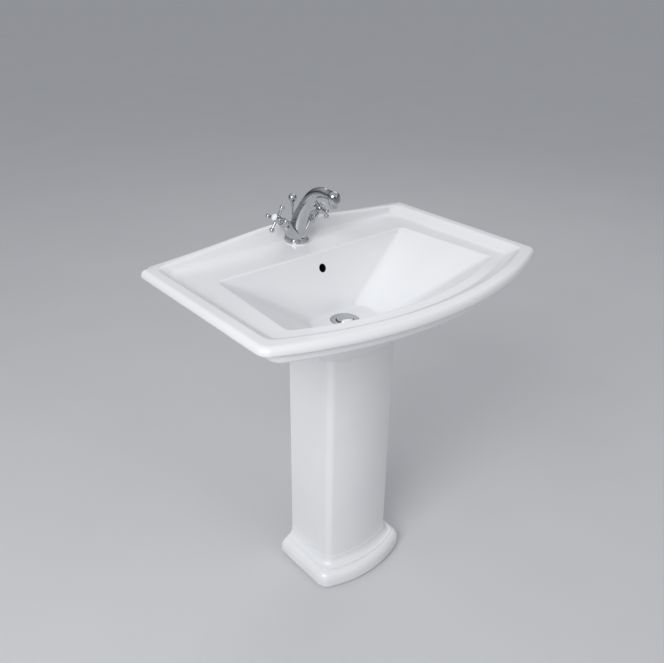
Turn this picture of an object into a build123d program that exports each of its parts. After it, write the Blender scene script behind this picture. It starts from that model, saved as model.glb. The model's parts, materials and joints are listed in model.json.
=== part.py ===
from build123d import *
import math
import os

os.makedirs("parts", exist_ok=True)

# A pedestal wash basin with a one-hole mixer tap, a pop-up waste and a bottle trap.
# Millimetres, +Z up. The origin is on the floor under the middle of the basin's plan.
# The wall is on the +Y side, and depths are measured from it towards the front.

# Basin, outside
basin_width = 750.0
side_depth = 434.0            # wall to the front corners
front_bow = 89.0              # how far the front curves out past its corners
rim_height = 824.0
lip_height = 18.0
lip_top_radius = 12.0
lip_under_radius = 5.5
moulding_front_inset = 12.0
moulding_side_inset = 24.0
moulding_height = 21.0
moulding_radius = 9.0
back_corner_radius = 15.0
front_corner_radius = 30.0

# Basin, sunk shelf and raised back
rim_band = 52.0               # outside edge to the foot of the rim's inner slope
rim_slope_run = 22.0
shelf_drop = 16.0
shelf_radius = 16.0
dish_back_radius = 22.0
dish_front_radius = 24.0
dish_clear = 12.0             # dish carried up past the crest
front_band_ease = 8.0         # front of the rim narrower at its corners
rim_crest_radius = 10.0
upstand_rise = 23.5           # middle of the back above the rim
upstand_foot = 26.0           # wall to the foot of the raised back
upstand_crest = 7.0           # wall to the crest of the raised back, at its middle
upstand_inset = 23.0          # basin side to the end of the raised back
upstand_shoulder_share = 0.47
upstand_shoulder_rise_share = 0.535
upstand_root_drop = 1.5
upstand_root_slope = 0.05

# Basin, bowl
bowl_back = 123.0
bowl_side_inset = 110.0       # basin side to the edge of the bowl
bowl_flare = 17.0             # extra half width at the front corners
bowl_side_end = 380.0
bowl_bow = 63.0
bowl_corner_radius = 14.0
bowl_edge_radius = 5.0
bowl_floor = 676.0            # height of the bowl's floor
bowl_floor_share = 0.302      # half width of the floor in the half width of the bowl
bowl_floor_back = 40.0
bowl_floor_front = 60.0
bowl_floor_bow = 14.0
bowl_floor_corner_radius = 30.0
bowl_floor_blend = 16.0
bowl_wall = 44.0              # thickness of the bowl's sides, measured level
belly_back = 96.0             # wall to the back of the bowl's outside
belly_corner_radius = 34.0
belly_back_overhang = 8.0
seat_height = 645.0           # underside of the basin, on the pedestal

# Basin, holes
tap_depth = 44.0
tap_hole_radius = 17.5
landing_rise = 4.5            # tap landing above the shelf
landing_radius = 29.5
platform_inset = 75.0         # basin side to the end of the platform
platform_end_half_width = 40.0
platform_tuck = 6.0           # platform run on under the raised back, and short of the bowl
platform_root = 4.0           # platform carried down into the shelf
waste_depth = 216.0
waste_hole_radius = 23.5
flange_recess_radius = 33.0
flange_recess_depth = 3.0
overflow_height = 774.0
overflow_radius = 9.0
overflow_reach = 36.0         # overflow hole carried into the bowl
overflow_duct_radius = 6.0
overflow_duct_back = 112.0    # wall to the top of the duct behind the bowl
overflow_duct_knee_height = 660.0
overflow_duct_outlet = 657.0
overflow_duct_run = 38.0
overflow_duct_bend = 20.0
apron_inset = 145.0           # basin side to the side of the apron
apron_thickness = 18.0
apron_foot = 690.0
apron_corner_radius = 20.0
wall_hole_inset = 90.0        # apron side to the wall bolt
wall_hole_height = 735.0
wall_hole_radius = 7.0

# Pedestal
shaft_width = 196.0
pedestal_back = 139.0
shaft_side_end = 282.0
shaft_bow = 20.0
shaft_corner_radius = 20.0
pedestal_wall = 14.0
collar_overhang = 22.0        # basin underside past the shaft
foot_flare = 35.5
plinth_height = 45.0
plinth_radius = 20.0
plinth_toe_radius = 12.0
cove_flare = 18.5
cove_foot_height = 48.0
cove_radius = 16.5
plinth_corner_radius = 32.0
cove_corner_radius = 28.0
band_flare = 1.5              # low band round the shaft above the cove
band_top = 70.0
foot_wall = 16.0
foot_hollow_height = 26.0
lug_height = 12.0
lug_depth = 32.0
lug_inner_x = 52.0
floor_hole_spacing = 140.0
floor_hole_radius = 3.5

# Fits
running_fit = 0.05            # shaft in its hole, radial
close_gap = 0.3               # between curved faces that pass or nest

# Tap body, heights above the landing
tap_base_radius = 22.8
base_ring_radius = 27.2
base_ring_height = 8.0
base_ring_edge = 4.4          # height of the ring's upright edge
base_ring_step = 1.6
base_seal_height = 2.0
base_seal_bore = 18.5
foot_disc_top = 10.0
spout_end_depth = 150.0
spout_end_height = 134.5
spout_end_radius = 9.6
spout_root_radius = 22.0
spout_lean = 15.0             # first knee of the neck, in front of the tap's axis
spout_knee_height = 62.0
spout_shoulder_lean = 49.5    # shoulder of the neck, in front of the tap's axis
spout_shoulder_height = 112.0
spout_taper = 0.8             # below 1, the neck thins sooner
spout_steps = 6
nozzle_depth = 171.5
nozzle_tilt = 12.0            # mouth of the bell pointing forwards
nozzle_rise = 11.5            # top of the bell above the neck's axis
nozzle_drop = 25.0            # mouth of the bell below the neck's axis
nozzle_bell_radius = 13.4
nozzle_mouth_radius = 8.8
nozzle_wall = 1.8
nozzle_collar = 0.5           # collar proud of the neck
aerator_height = 9.0
aerator_inset = 0.5
nozzle_seal_height = 2.0
aerator_ring_radius = 4.2
aerator_hole_count = 8
aerator_hole_radius = 1.0

# Valves and handles, lengths along the valve axis from the body's middle
valve_angle = 37.0            # rise of the valve axis
valve_sweep = 8.6             # valve axis swung forwards from the basin's length
valve_root_height = 20.0      # where the two axes meet, above the landing
arm_length = 38.0
arm_root_radius = 21.4
arm_root_sink = 3.0           # arms let into the foot
arm_end_radius = 12.6
valve_bore_radius = 8.2
valve_bore_start = 13.0
valve_hex_radius = 11.0
valve_hex_length = 4.0
valve_neck_radius = 7.0
valve_neck_end = 61.0
disc_radius = 6.4
disc_inset = 1.0
disc_port_offset = 2.9
disc_thickness = 3.0
spindle_radius = 3.95
spindle_end = 81.5
spindle_foot_height = 2.0
disc_port_radius = 2.0
bonnet_end = 64.5
bonnet_step = 2.4             # height of each rib and groove round the bonnet
bonnet_groove = 1.0
bonnet_waist = 10.4
bonnet_bead = 11.6
bonnet_lip = 8.9
handle_gap = 0.6
hub_radius = 9.0
hub_end = 88.5
hub_foot_radius = 7.5
hub_waist_radius = 6.3
hub_waist_height = 3.0
hub_boss_half = 4.0           # half height of the hub's boss where the arms leave it
handle_arm_at = 78.5
handle_arm_reach = 27.5
handle_arm_radius = 3.6       # at the hub
handle_arm_tip_radius = 2.6
handle_collar_radius = 3.9
handle_collar_length = 1.6
handle_arm_root = 1.5         # arm let into the hub
handle_ball_radius = 5.5
screw_radius = 2.0
screw_length = 9.0
screw_end_gap = 1.0
screw_web = 2.0               # hub between the spindle's end and the screw's head
screw_head_radius = 3.6
screw_head_height = 2.4
cap_radius = 8.0
cap_rim = 1.0
cap_rise = 5.0
cap_plug = 2.0

# Tap fixing under the basin
stud_radius = 4.0
stud_offset = 12.0            # in front of the tap's axis
stud_tail = 8.0
tail_radius = 5.5             # in the tap and down through its hole
tail_end_radius = 5.0         # free end that takes a fitting
tail_end_length = 50.0
tail_bore_radius = 4.0
tail_spacing = 19.0
tail_foot = 690.0
socket_depth = 10.0
clamp_radius = 23.0
clamp_inset = 1.0             # steel plate smaller than the rubber
clamp_thickness = 3.0
horseshoe_thickness = 3.0
clamp_slot_half_width = 15.4
clamp_slot_front = 5.5        # front of the slot, in front of the tap's axis
fixing_nut_flats = 13.0
fixing_nut_height = 7.0

# Pop-up linkage
rod_offset = 15.0             # behind the tap's axis
rod_radius = 2.0
rod_foot = 692.0
knob_top = 919.5
knob_height = 30.0
knob_radius = 9.6
knob_socket = 10.0
knob_neck = 1.4               # knob's foot thicker than the rod
knob_stem_radius = 4.6
knob_stem_drop = 18.5         # top of the knob to the top of its stem
lift_travel = 36.0
strap_width = 12.0
strap_thickness = 2.5
strap_top = 705.0
strap_foot = 585.0
strap_block_width = 8.0
strap_block_depth = 8.0
strap_block_height = 16.0
strap_tongue_root = 4.0       # tongue let into the block
strap_hole_radius = 3.4
strap_hole_pitch = 14.0
strap_hole_count = 5
clevis_screw_radius = 1.6
clevis_screw_head_radius = 3.2
clevis_screw_head_height = 3.0
lever_radius = 2.3
lever_height = 612.0          # height of the lever's pivot
pivot_offset = 27.0           # behind the waste's axis
lever_tail = 9.0              # lever past the strap
lever_nose = 3.0              # lever past the waste's axis
ball_radius = 5.5
ball_to_nut = 6.0             # middle of the ball to the outer end of its seat
ball_to_wall = 7.0            # middle of the ball to the inner end of its seat
seat_wall = 2.4
seat_floor = 2.0
seat_hole_radius = 3.9
boss_wall = 2.0
boss_root = 1.5               # boss let into the waste's wall
lever_hole_play = 2.0          # lever hole in the waste, round the lever
pivot_nut_wall = 1.7
pivot_nut_end = 2.5
pivot_nut_hole = 4.2
pivot_nut_length = 12.5

# Waste
flange_radius = 32.0
flange_thickness = 2.4
flange_seal_thickness = 1.0
flange_edge = 1.4             # bevel round the flange
flange_seal_inset = 1.0
throat_radius = 19.8
ledge_height = 668.0          # seat for the plug's seal
ledge_bore = 16.5
spigot_radius = 18.45
spigot_length = 10.0
waste_tube_radius = 21.6
flange_tube_end = 650.0
back_washer_height = 4.0
back_nut_height = 10.0
back_washer_radius = 30.0
back_nut_radius = 31.0
waste_body_end = 602.0
waste_body_taper = 8.0
waste_body_bore = 17.0
tail_pipe_radius = 16.0
tail_pipe_bore = 13.8
tail_pipe_end = 535.0
slot_width = 12.0
slot_height = 9.0
slot_middle = 659.0
plug_radius = 18.9
plug_thickness = 3.0
plug_dome = 2.4
plug_stem_radius = 4.0
plug_seal_radius = 18.6
plug_seal_bore = 10.0
plug_keeper_radius = 11.5     # shoulder that holds the plug's seal up
plug_keeper_height = 2.0
plug_neck_height = 7.0
plug_seal_height = 2.4
plug_eye_radius = 7.0
plug_eye_hole = 3.2
plug_eye_thickness = 4.0

# Bottle trap
inlet_nut_radius = 24.0
inlet_nut_foot = 547.0
inlet_nut_end = 3.0
inlet_seal_height = 4.0
trap_inlet_top = 556.0
trap_neck_radius = 20.5
trap_shoulder = 546.0
trap_shoulder_bevel = 5.0
trap_body_radius = 30.0
trap_below_outlet = 17.0      # body carried down past the outlet
trap_wall = 2.6
dip_tube_wall = 1.9
dip_tube_drop = 28.0          # dip tube below the body
cup_radius = 33.0
cup_drop = 58.0               # cup below the body
cup_foot_bevel = 8.0
cup_overlap = 14.0            # cup's rim above the foot of the body
cup_rim_below = 6.0           # cup's rim below the foot of the body
cup_seal_height = 3.0
outlet_height = 527.0
outlet_radius = 20.0
outlet_bore = 16.2
outlet_socket = 30.0
outlet_passage = 13.0
outlet_end_depth = 152.0
outlet_nut_wall = 4.0
outlet_nut_length = 18.0
outlet_nut_end = 3.0
outlet_seal_height = 3.0

# Places that several pieces share
basin_depth = side_depth + front_bow
rim_half = basin_width / 2
front_arc_radius = (rim_half**2 + front_bow**2) / (2 * front_bow)
upstand_half_width = rim_half - upstand_inset
bowl_half_width = rim_half - bowl_side_inset
bowl_floor_half_width = bowl_half_width * bowl_floor_share
platform_half_width = rim_half - platform_inset
apron_half_width = rim_half - apron_inset
wall_hole_spacing = 2 * (apron_half_width - wall_hole_inset)
wall_y = basin_depth / 2
shelf_height = rim_height - shelf_drop
moulding_top = rim_height - lip_height
slab_foot = moulding_top - moulding_height
landing_height = shelf_height + landing_rise
shaft_half = shaft_width / 2
shaft_arc_radius = (shaft_half**2 + shaft_bow**2) / (2 * shaft_bow)
shaft_arc_centre = shaft_side_end + shaft_bow - shaft_arc_radius
rod_depth = tap_depth - rod_offset
pivot_depth = waste_depth - pivot_offset
lever_arm = pivot_depth - rod_depth
plug_travel = lift_travel * pivot_offset / lever_arm
lever_tilt = math.degrees(math.asin(lift_travel / 2 / lever_arm))
flange_seat = bowl_floor - flange_recess_depth
flange_top = flange_seat + flange_seal_thickness + flange_thickness
trap_body_foot = outlet_height - outlet_radius - trap_below_outlet
dip_tube_foot = trap_body_foot - dip_tube_drop
cup_foot = trap_body_foot - cup_drop


def from_wall(depth):
    """The Y of a place that lies this far in front of the wall."""
    return wall_y - depth


def bowed_outline(height, half_width, back, side_end, bow, back_radius, front_radius, flare=0.0):
    """A plan outline with a straight back, straight sides and a front that curves out."""
    back_left = (-half_width, from_wall(back))
    back_right = (half_width, from_wall(back))
    front_right = (half_width + flare, from_wall(side_end))
    front_left = (-half_width - flare, from_wall(side_end))
    with BuildSketch(Plane.XY.offset(height)) as outline:
        with BuildLine():
            Line(back_left, back_right)
            Line(back_right, front_right)
            ThreePointArc(front_right, (0, from_wall(side_end + bow)), front_left)
            Line(front_left, back_left)
        make_face()
        if back_radius > 0:
            fillet(outline.vertices().group_by(Axis.Y)[-1], back_radius)
        fillet(outline.vertices().group_by(Axis.Y)[0], front_radius)
    return outline.sketch


def shaft_outline(height, grow, corner_radius, back=pedestal_back):
    """The pedestal's plan, moved out by grow on its sides and its bowed front."""
    half_width = shaft_half + grow
    arc_radius = shaft_arc_radius + grow
    side_end = shaft_arc_centre + math.sqrt(arc_radius**2 - half_width**2)
    bow = shaft_arc_centre + arc_radius - side_end
    return bowed_outline(height, half_width, back, side_end, bow, 0.0, corner_radius)


def upright(depth, height, x=0.0):
    """A plane facing up, at this depth and height."""
    return Plane(origin=(x, from_wall(depth), height))


def half_section(base, points):
    """A closed profile of (radius, height) points, on a plane that holds the base's axis."""
    with BuildSketch(Plane(base.origin, x_dir=base.x_dir, z_dir=-base.y_dir)) as section:
        with BuildLine():
            Polyline(*points, close=True)
        make_face()
    return section.sketch


def ring_section(base, inner, outer, low, high):
    """The half section of a plain ring or tube."""
    return half_section(base, [(inner, low), (outer, low), (outer, high), (inner, high)])


def turning_axis(base):
    return Axis(base.origin, base.z_dir)


def write(piece, name):
    piece.part.label = name
    export_step(piece.part, f"parts/{name}.step")


# Basin: the tap's platform, a low hip that fans out from the back corners of the shelf
platform_back = upstand_foot - platform_tuck
platform_front = bowl_back - platform_tuck
platform_base = shelf_height - platform_root
ridge = Vector(-platform_end_half_width, from_wall(platform_back), landing_height)
hip_front = Vector(-platform_end_half_width, from_wall(platform_front), shelf_height)
hip_corner = Vector(-platform_half_width, from_wall(platform_back), shelf_height)
across = Vector(1, 0, 0)
middle_slope = Plane(hip_front, x_dir=across, z_dir=across.cross(ridge - hip_front))
left_normal = (hip_front - hip_corner).cross(ridge - hip_corner)
left_slope = Plane(hip_corner, x_dir=hip_front - hip_corner, z_dir=left_normal)

with BuildPart() as platform:
    with BuildSketch(Plane.XY.offset(platform_base)):
        with BuildLine():
            Polyline(
                (-platform_half_width, from_wall(platform_back)),
                (-platform_end_half_width, from_wall(platform_front)),
                (0, from_wall(platform_front)),
                (0, from_wall(platform_back)),
                close=True,
            )
        make_face()
    extrude(amount=landing_height - platform_base + platform_root)
    split(bisect_by=middle_slope, keep=Keep.BOTTOM)
    split(bisect_by=left_slope, keep=Keep.BOTTOM)
    mirror(about=Plane.YZ)

# Basin: the sunk shelf, whose back slope becomes the face of the raised back
dish_rise = upstand_rise + shelf_drop + dish_clear
upstand_lean = (upstand_foot - upstand_crest) / (upstand_rise + shelf_drop)
rim_lean = rim_slope_run / shelf_drop
dish_half_width = rim_half - rim_band
dish_side_end = side_depth - rim_band + front_band_ease
dish_bow = front_bow - front_band_ease
dish_floor = bowed_outline(
    shelf_height, dish_half_width, upstand_foot, dish_side_end, dish_bow,
    dish_back_radius, dish_front_radius,
)
dish_mouth = bowed_outline(
    shelf_height + dish_rise, dish_half_width + rim_lean * dish_rise,
    upstand_foot - upstand_lean * dish_rise, dish_side_end + rim_lean * dish_rise, dish_bow,
    dish_back_radius, dish_front_radius,
)
with BuildPart() as dish:
    loft([dish_floor, dish_mouth], ruled=True)
    fillet(dish.edges().group_by(Axis.Z)[0], shelf_radius)

# Basin: the bowl, flat walls that lean in from a crisp edge and meet in widening valleys
bowl_mouth = bowed_outline(
    shelf_height, bowl_half_width, bowl_back, bowl_side_end, bowl_bow,
    bowl_corner_radius, bowl_corner_radius, bowl_flare,
)
bowl_sump = bowed_outline(
    bowl_floor, bowl_floor_half_width, waste_depth - bowl_floor_back, waste_depth + bowl_floor_front,
    bowl_floor_bow, bowl_floor_corner_radius, bowl_floor_corner_radius,
)
with BuildPart() as bowl:
    loft([bowl_mouth, bowl_sump], ruled=True)
    fillet(bowl.edges().group_by(Axis.Z)[0], bowl_floor_blend)

# Basin: its underside, from the slab down to the seat on the pedestal
bowl_lean = (bowl_half_width - bowl_floor_half_width) / (shelf_height - bowl_floor)
belly_half_width = bowl_half_width - bowl_lean * (shelf_height - slab_foot) + bowl_wall
belly_top = bowed_outline(
    slab_foot, belly_half_width, belly_back, bowl_side_end - bowl_flare, bowl_bow,
    belly_corner_radius, belly_corner_radius, bowl_flare,
)
belly_foot = shaft_outline(seat_height, collar_overhang, shaft_corner_radius, pedestal_back - belly_back_overhang)
moulding_half_width = rim_half - moulding_side_inset
moulding_bow = front_arc_radius - math.sqrt(front_arc_radius**2 - moulding_half_width**2)
moulding_side_end = basin_depth - moulding_front_inset - moulding_bow

with BuildPart() as basin:
    extrude(
        bowed_outline(
            moulding_top, rim_half, 0.0, side_depth, front_bow, back_corner_radius, front_corner_radius
        ),
        amount=lip_height,
    )
    fillet(basin.edges().group_by(Axis.Z)[-1], lip_top_radius)
    fillet(basin.edges().group_by(Axis.Z)[0], lip_under_radius)
    extrude(
        bowed_outline(
            slab_foot, moulding_half_width, 0.0, moulding_side_end, moulding_bow,
            back_corner_radius, front_corner_radius,
        ),
        amount=moulding_height + lip_under_radius / 2,
    )
    fillet(basin.edges().group_by(Axis.Z)[0], moulding_radius)
    loft([belly_top, belly_foot], ruled=True)
    # the raised back, an ogee that swells towards its middle
    crest = rim_height + upstand_rise
    shoulder_x = upstand_half_width * upstand_shoulder_share
    shoulder_z = rim_height + upstand_rise * upstand_shoulder_rise_share
    root_z = rim_height - upstand_root_drop
    with BuildSketch(Plane.XZ.offset(-wall_y)):
        with BuildLine():
            Spline(
                (-upstand_half_width, root_z), (-shoulder_x, shoulder_z), (0, crest),
                tangents=[(1, upstand_root_slope), (1, 0)],
            )
            Spline(
                (0, crest), (shoulder_x, shoulder_z), (upstand_half_width, root_z),
                tangents=[(1, 0), (1, -upstand_root_slope)],
            )
            Polyline(
                (upstand_half_width, root_z), (upstand_half_width, moulding_top),
                (-upstand_half_width, moulding_top), (-upstand_half_width, root_z),
            )
        make_face()
    extrude(amount=upstand_foot * 2)
    add(dish.part, mode=Mode.SUBTRACT)
    crest_edges = basin.edges(Select.NEW).filter_by_position(Axis.Z, root_z, crest + upstand_root_drop)
    fillet(crest_edges, rim_crest_radius)
    add(bowl.part, mode=Mode.SUBTRACT)
    fillet(basin.edges(Select.LAST).group_by(Axis.Z)[-1], bowl_edge_radius)
    add(platform.part)
    with BuildSketch(upright(tap_depth, platform_base)):
        Circle(landing_radius)
    extrude(amount=landing_height - platform_base)
    with BuildSketch(upright(tap_depth, slab_foot)):
        Circle(tap_hole_radius)
    extrude(amount=landing_height - slab_foot, mode=Mode.SUBTRACT)
    # clearance behind the tap, so that its ring stands clear of the raised back
    with BuildSketch(upright(tap_depth, landing_height)):
        Circle(landing_radius)
    extrude(amount=upstand_rise + shelf_drop, mode=Mode.SUBTRACT)
    # the apron that the wall bolts go through
    apron_top = slab_foot + moulding_radius
    with BuildSketch(Plane.XZ.offset(-wall_y)) as apron:
        with Locations((0, (apron_top + apron_foot) / 2)):
            Rectangle(apron_half_width * 2, apron_top - apron_foot)
        fillet(apron.vertices().group_by(Axis.Z)[0], apron_corner_radius)
    extrude(amount=apron_thickness)
    with BuildSketch(Plane.XZ.offset(-wall_y)):
        with Locations((-wall_hole_spacing / 2, wall_hole_height), (wall_hole_spacing / 2, wall_hole_height)):
            Circle(wall_hole_radius)
    extrude(amount=apron_thickness, mode=Mode.SUBTRACT)
    # the waste hole with its recess
    with BuildSketch(upright(waste_depth, seat_height)):
        Circle(waste_hole_radius)
    extrude(amount=bowl_floor - seat_height, mode=Mode.SUBTRACT)
    with BuildSketch(upright(waste_depth, flange_seat)):
        Circle(flange_recess_radius)
    extrude(amount=flange_recess_depth + bowl_floor_blend, mode=Mode.SUBTRACT)
    # the overflow hole, and the duct behind the bowl that leads down to the waste hole
    hole_end = bowl_back + overflow_reach
    with BuildSketch(Plane.XZ.offset(-from_wall(overflow_duct_back))):
        with Locations((0, overflow_height)):
            Circle(overflow_radius)
    extrude(amount=hole_end - overflow_duct_back, mode=Mode.SUBTRACT)
    duct_top = (from_wall(overflow_duct_back), overflow_height)
    duct_knee = (from_wall(overflow_duct_back + overflow_duct_run), overflow_duct_knee_height)
    duct_end = (from_wall(waste_depth - waste_hole_radius + overflow_duct_radius), overflow_duct_outlet)
    with BuildLine(Plane.YZ) as duct_path:
        FilletPolyline(duct_top, duct_knee, duct_end, radius=overflow_duct_bend)
    with BuildSketch(Plane(duct_path.line @ 0, z_dir=duct_path.line % 0)):
        Circle(overflow_duct_radius)
    sweep(path=duct_path.line, mode=Mode.SUBTRACT)
write(basin, "basin")

# Pedestal: a hollow shaft, open at the back, on a moulded foot
hollow_back = pedestal_back - pedestal_wall
with BuildPart() as plinth:
    extrude(shaft_outline(0.0, foot_flare, plinth_corner_radius), amount=plinth_height)
    fillet(plinth.edges().group_by(Axis.Z)[-1].sort_by(Axis.Y)[:-1], plinth_radius)
    fillet(plinth.edges().group_by(Axis.Z)[0].sort_by(Axis.Y)[:-1], plinth_toe_radius)

with BuildPart() as pedestal:
    extrude(shaft_outline(0.0, 0.0, shaft_corner_radius), amount=seat_height)
    extrude(shaft_outline(0.0, band_flare, shaft_corner_radius + band_flare), amount=band_top)
    extrude(shaft_outline(0.0, cove_flare, cove_corner_radius), amount=cove_foot_height)
    fillet(pedestal.edges(Select.NEW).group_by(Axis.Z)[-1], cove_radius)
    add(plinth.part)
    extrude(
        shaft_outline(0.0, -pedestal_wall, shaft_corner_radius - pedestal_wall / 2, hollow_back),
        amount=seat_height,
        mode=Mode.SUBTRACT,
    )
    extrude(
        shaft_outline(0.0, foot_flare - foot_wall, cove_corner_radius, hollow_back),
        amount=foot_hollow_height,
        mode=Mode.SUBTRACT,
    )
    # a lug with a screw hole on each side of the open back
    lug_outer_x = shaft_half + foot_flare - foot_wall
    lug_middle = from_wall(pedestal_back + lug_depth / 2)
    for side in (-1, 1):
        with BuildSketch(Plane.XY):
            with Locations((side * (lug_inner_x + lug_outer_x) / 2, lug_middle)):
                Rectangle(lug_outer_x - lug_inner_x, lug_depth)
            with Locations((side * floor_hole_spacing / 2, lug_middle)):
                Circle(floor_hole_radius, mode=Mode.SUBTRACT)
        extrude(amount=lug_height)
write(pedestal, "pedestal")

# Tap body: a round foot, a swan neck that thins towards its end, and two leaning valve arms
tap_base = upright(tap_depth, landing_height)
spout_route = [
    (tap_depth, foot_disc_top),
    (tap_depth + spout_lean, spout_knee_height),
    (tap_depth + spout_shoulder_lean, spout_shoulder_height),
    (spout_end_depth, spout_end_height),
]


def valve_plane(side):
    """A plane whose axis runs out along one valve, with the tap's middle at its origin."""
    lean = math.radians(valve_angle)
    sweep = math.radians(valve_sweep)
    sideways = Vector(side * math.cos(sweep), -math.sin(sweep), 0)
    outwards = sideways * math.cos(lean) + Vector(0, 0, math.sin(lean))
    root = tap_base.origin + Vector(0, 0, valve_root_height)
    return Plane(root, x_dir=outwards.cross(Vector(0, 0, 1)), z_dir=outwards)


with BuildPart() as tap_body:
    with BuildSketch(tap_base.offset(base_seal_height)):
        Circle(tap_base_radius)
    extrude(amount=foot_disc_top - base_seal_height)
    route = [(from_wall(depth), landing_height + height) for depth, height in spout_route]
    with BuildLine(Plane.YZ, mode=Mode.PRIVATE) as spout_line:
        Spline(*route, tangents=[(0, 1), (-1, 0)])
    for step in range(spout_steps + 1):
        share = step / spout_steps
        thin = share**spout_taper
        with BuildSketch(Plane(spout_line.line @ share, x_dir=(1, 0, 0), z_dir=spout_line.line % share)):
            Circle(spout_root_radius + (spout_end_radius - spout_root_radius) * thin)
    loft()
    for side in (-1, 1):
        arm = valve_plane(side)
        with BuildSketch(Plane(tap_base.offset(foot_disc_top - arm_root_sink).origin, x_dir=arm.x_dir)):
            Circle(arm_root_radius)
        with BuildSketch(arm.offset(arm_length)):
            Circle(arm_end_radius)
        loft(ruled=True)
    for side in (-1, 1):
        arm = valve_plane(side)
        with BuildSketch(arm.offset(valve_bore_start)):
            Circle(valve_bore_radius)
        extrude(amount=arm_length - valve_bore_start, mode=Mode.SUBTRACT)
    # sockets for the stud and the inlet tails, and the passage for the lift rod
    with BuildSketch(tap_base):
        with Locations((0, -stud_offset)):
            Circle(stud_radius + running_fit)
        with Locations((-tail_spacing / 2, 0), (tail_spacing / 2, 0)):
            Circle(tail_radius + running_fit)
    extrude(amount=base_seal_height + socket_depth, mode=Mode.SUBTRACT)
    with BuildSketch(tap_base):
        with Locations((0, rod_offset)):
            Circle(rod_radius + running_fit)
    extrude(amount=spout_end_height, mode=Mode.SUBTRACT)
write(tap_body, "tap_body")

with BuildPart() as tap_base_ring:
    ring_bore = tap_base_radius + close_gap
    ring_profile = [
        (ring_bore, 0),
        (base_ring_radius, 0),
        (base_ring_radius, base_ring_edge),
        (base_ring_radius - base_ring_step, base_ring_edge + base_ring_step),
        (ring_bore, base_ring_height),
    ]
    revolve(half_section(tap_base, ring_profile), axis=turning_axis(tap_base))
write(tap_base_ring, "tap_base_ring")

with BuildPart() as tap_base_seal:
    revolve(
        ring_section(tap_base, base_seal_bore, tap_base_radius, 0, base_seal_height),
        axis=turning_axis(tap_base),
    )
write(tap_base_seal, "tap_base_seal")

# Outlet: a bell that screws onto the end of the neck, with an aerator held by a seal
nozzle_lean = math.radians(nozzle_tilt)
nozzle_middle = (0, from_wall(nozzle_depth), landing_height + spout_end_height)
nozzle_base = Plane(nozzle_middle, x_dir=(1, 0, 0), z_dir=(0, math.sin(nozzle_lean), math.cos(nozzle_lean)))
bell_bore = nozzle_mouth_radius - nozzle_wall
seal_low = aerator_height - nozzle_drop
seal_high = seal_low + nozzle_seal_height
with BuildPart() as spout_nozzle:
    with BuildSketch(Plane(nozzle_base.origin, x_dir=nozzle_base.x_dir, z_dir=-nozzle_base.y_dir)):
        with BuildLine():
            Polyline(
                (0, nozzle_rise),
                (0, seal_high),
                (bell_bore, seal_high),
                (bell_bore, -nozzle_drop),
                (nozzle_mouth_radius, -nozzle_drop),
            )
            TangentArc((nozzle_bell_radius, 0), (nozzle_mouth_radius, -nozzle_drop), tangent=(0, -1))
            TangentArc((0, nozzle_rise), (nozzle_bell_radius, 0), tangent=(1, 0))
        make_face()
    revolve(axis=turning_axis(nozzle_base))
    with BuildSketch(Plane.XZ.offset(-from_wall(spout_end_depth))):
        with Locations((0, landing_height + spout_end_height)):
            Circle(spout_end_radius + nozzle_collar)
    extrude(amount=nozzle_depth - spout_end_depth)
write(spout_nozzle, "spout_nozzle")

with BuildPart() as nozzle_aerator:
    with BuildSketch(nozzle_base.offset(aerator_inset - nozzle_drop)):
        Circle(bell_bore - running_fit)
        with PolarLocations(aerator_ring_radius, aerator_hole_count):
            Circle(aerator_hole_radius, mode=Mode.SUBTRACT)
    extrude(amount=aerator_height - aerator_inset)
write(nozzle_aerator, "nozzle_aerator")

with BuildPart() as nozzle_seal:
    revolve(
        ring_section(nozzle_base, bell_bore / 2, bell_bore - running_fit, seal_low, seal_high),
        axis=turning_axis(nozzle_base),
    )
write(nozzle_seal, "nozzle_seal")

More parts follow.
